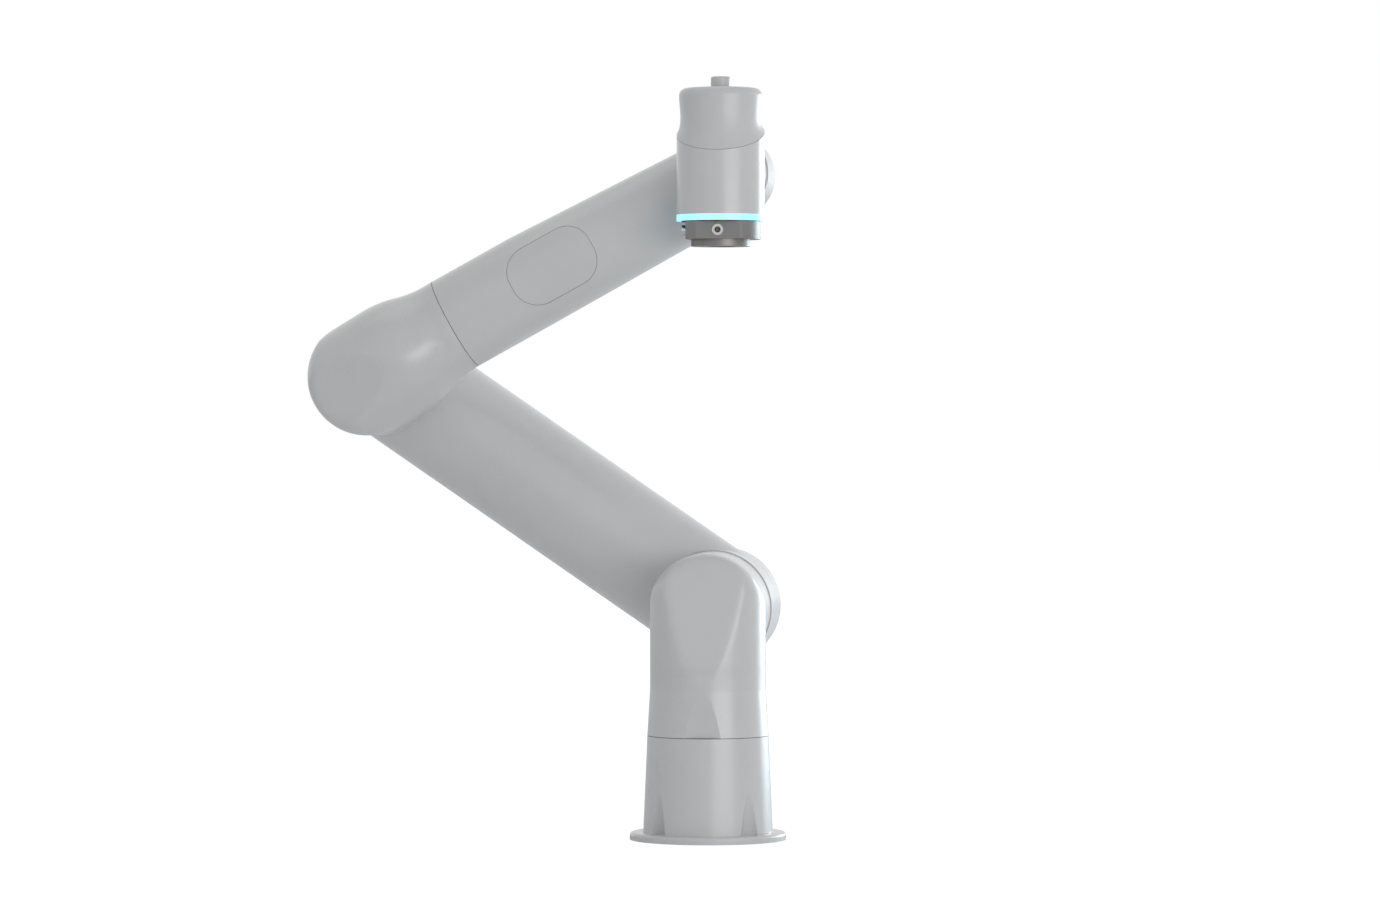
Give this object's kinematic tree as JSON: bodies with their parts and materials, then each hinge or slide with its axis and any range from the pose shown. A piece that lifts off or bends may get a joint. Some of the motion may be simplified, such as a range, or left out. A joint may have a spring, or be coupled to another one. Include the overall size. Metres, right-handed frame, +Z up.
{
  "type": "collaborative robot arm",
  "caption": "Jointed robot arm on a bolted foot: tubular links with rounded crowned joints, a capped wrist with a lit ring, a guide button and a round tool flange.",
  "frame": {"origin": "centre of the base's bottom face, on the base's turning axis", "axes": "+Z up along the base's turning axis; the folded arm lies in the XZ plane with its elbow towards -X; the tool end faces -Y and the upper arm runs behind at +Y"},
  "size_m": [0.5204, 0.342, 0.8215],
  "materials": {
    "painted_casting": "cast aluminium with satin white paint",
    "cover_plastic": "moulded cover in satin white",
    "bare_aluminium": "brushed, clear anodised",
    "anodised_aluminium": "dark warm grey anodised, fine bead-blasted",
    "machined_aluminium": "turned and clear anodised",
    "gear_steel": "ground steel",
    "motor_steel": "laminated steel and windings",
    "board_laminate": "green circuit board",
    "ring_plastic": "translucent ring, lit from inside in pale blue",
    "dark_plastic": "matte dark grey",
    "spring_rubber": "soft silicone",
    "screw_steel": "plated steel"
  },
  "bodies": {
    "base": {"base_housing": "painted_casting", "base_floor_plate": "bare_aluminium", "rear_panel": "bare_aluminium", "base_connector": "dark_plastic", "ground_screw": "screw_steel", "base_gear": "gear_steel", "base_stator": "motor_steel", "base_encoder_board": "board_laminate", "joint_1_rotor": "motor_steel"},
    "turret": {"turret_housing": "painted_casting", "joint_1_output_flange": "gear_steel", "joint_2_output_flange": "gear_steel"},
    "upper_arm": {"upper_arm_housing": "painted_casting", "shoulder_rear_cap": "cover_plastic", "elbow_rear_cap": "cover_plastic", "upper_arm_gears": "gear_steel", "upper_arm_stators": "motor_steel", "upper_arm_encoder_boards": "board_laminate", "joint_2_rotor": "motor_steel", "joint_3_rotor": "motor_steel"},
    "elbow": {"elbow_housing": "painted_casting", "joint_3_output_flange": "gear_steel", "joint_4_output_flange": "gear_steel"},
    "forearm": {"forearm_housing": "painted_casting", "forearm_cover": "cover_plastic", "forearm_end_cap": "cover_plastic", "forearm_gears": "gear_steel", "forearm_stators": "motor_steel", "forearm_encoder_boards": "board_laminate", "joint_4_rotor": "motor_steel", "joint_5_rotor": "motor_steel"},
    "wrist": {"wrist_housing": "painted_casting", "wrist_cap": "cover_plastic", "light_ring": "ring_plastic", "button_spring": "spring_rubber", "button_switch": "dark_plastic", "wrist_gear": "gear_steel", "wrist_stator": "motor_steel", "wrist_encoder_board": "board_laminate", "joint_6_rotor": "motor_steel", "joint_5_output_flange": "gear_steel"},
    "tool": {"tool_body": "anodised_aluminium", "tool_flange": "anodised_aluminium", "front_tool_socket": "machined_aluminium", "side_tool_socket": "machined_aluminium", "joint_6_output_flange": "gear_steel"},
    "guide_button": {"guide_button": "cover_plastic"}
  },
  "joints": [
    {"name": "base_turn", "type": "hinge", "parent": "base", "child": "turret", "pos_m": [0, 0, 0.1124], "axis": [0, 0, 1], "range_deg": [-270, 270]},
    {"name": "shoulder_swing", "type": "hinge", "parent": "turret", "child": "upper_arm", "pos_m": [0, 0.0636, 0.248], "axis": [0, 1, 0], "range_deg": [-89.5, 200.5]},
    {"name": "elbow_swing", "type": "hinge", "parent": "upper_arm", "child": "elbow", "pos_m": [-0.37086, 0.0636, 0.50288], "axis": [0, -1, 0], "range_deg": [-38.5, 271.5]},
    {"name": "forearm_roll", "type": "hinge", "parent": "elbow", "child": "forearm", "pos_m": [-0.27631, 0, 0.56044], "axis": [0.8746, 0, 0.4848], "range_deg": [-180, 180]},
    {"name": "wrist_bend", "type": "hinge", "parent": "forearm", "child": "wrist", "pos_m": [0.02272, -0.048, 0.72105], "axis": [0, 1, 0], "range_deg": [-209, 151]},
    {"name": "tool_turn", "type": "hinge", "parent": "wrist", "child": "tool", "pos_m": [0.02272, -0.099, 0.66755], "axis": [0, 0, 1], "range_deg": [-270, 270]},
    {"name": "guide_button_press", "type": "slide", "parent": "wrist", "child": "guide_button", "axis": [0, 0, -1], "range_m": [0, 0.0025], "stiffness_N_per_m": 800, "springref_m": -0.002, "deforming": ["button_spring"]}
  ]
}
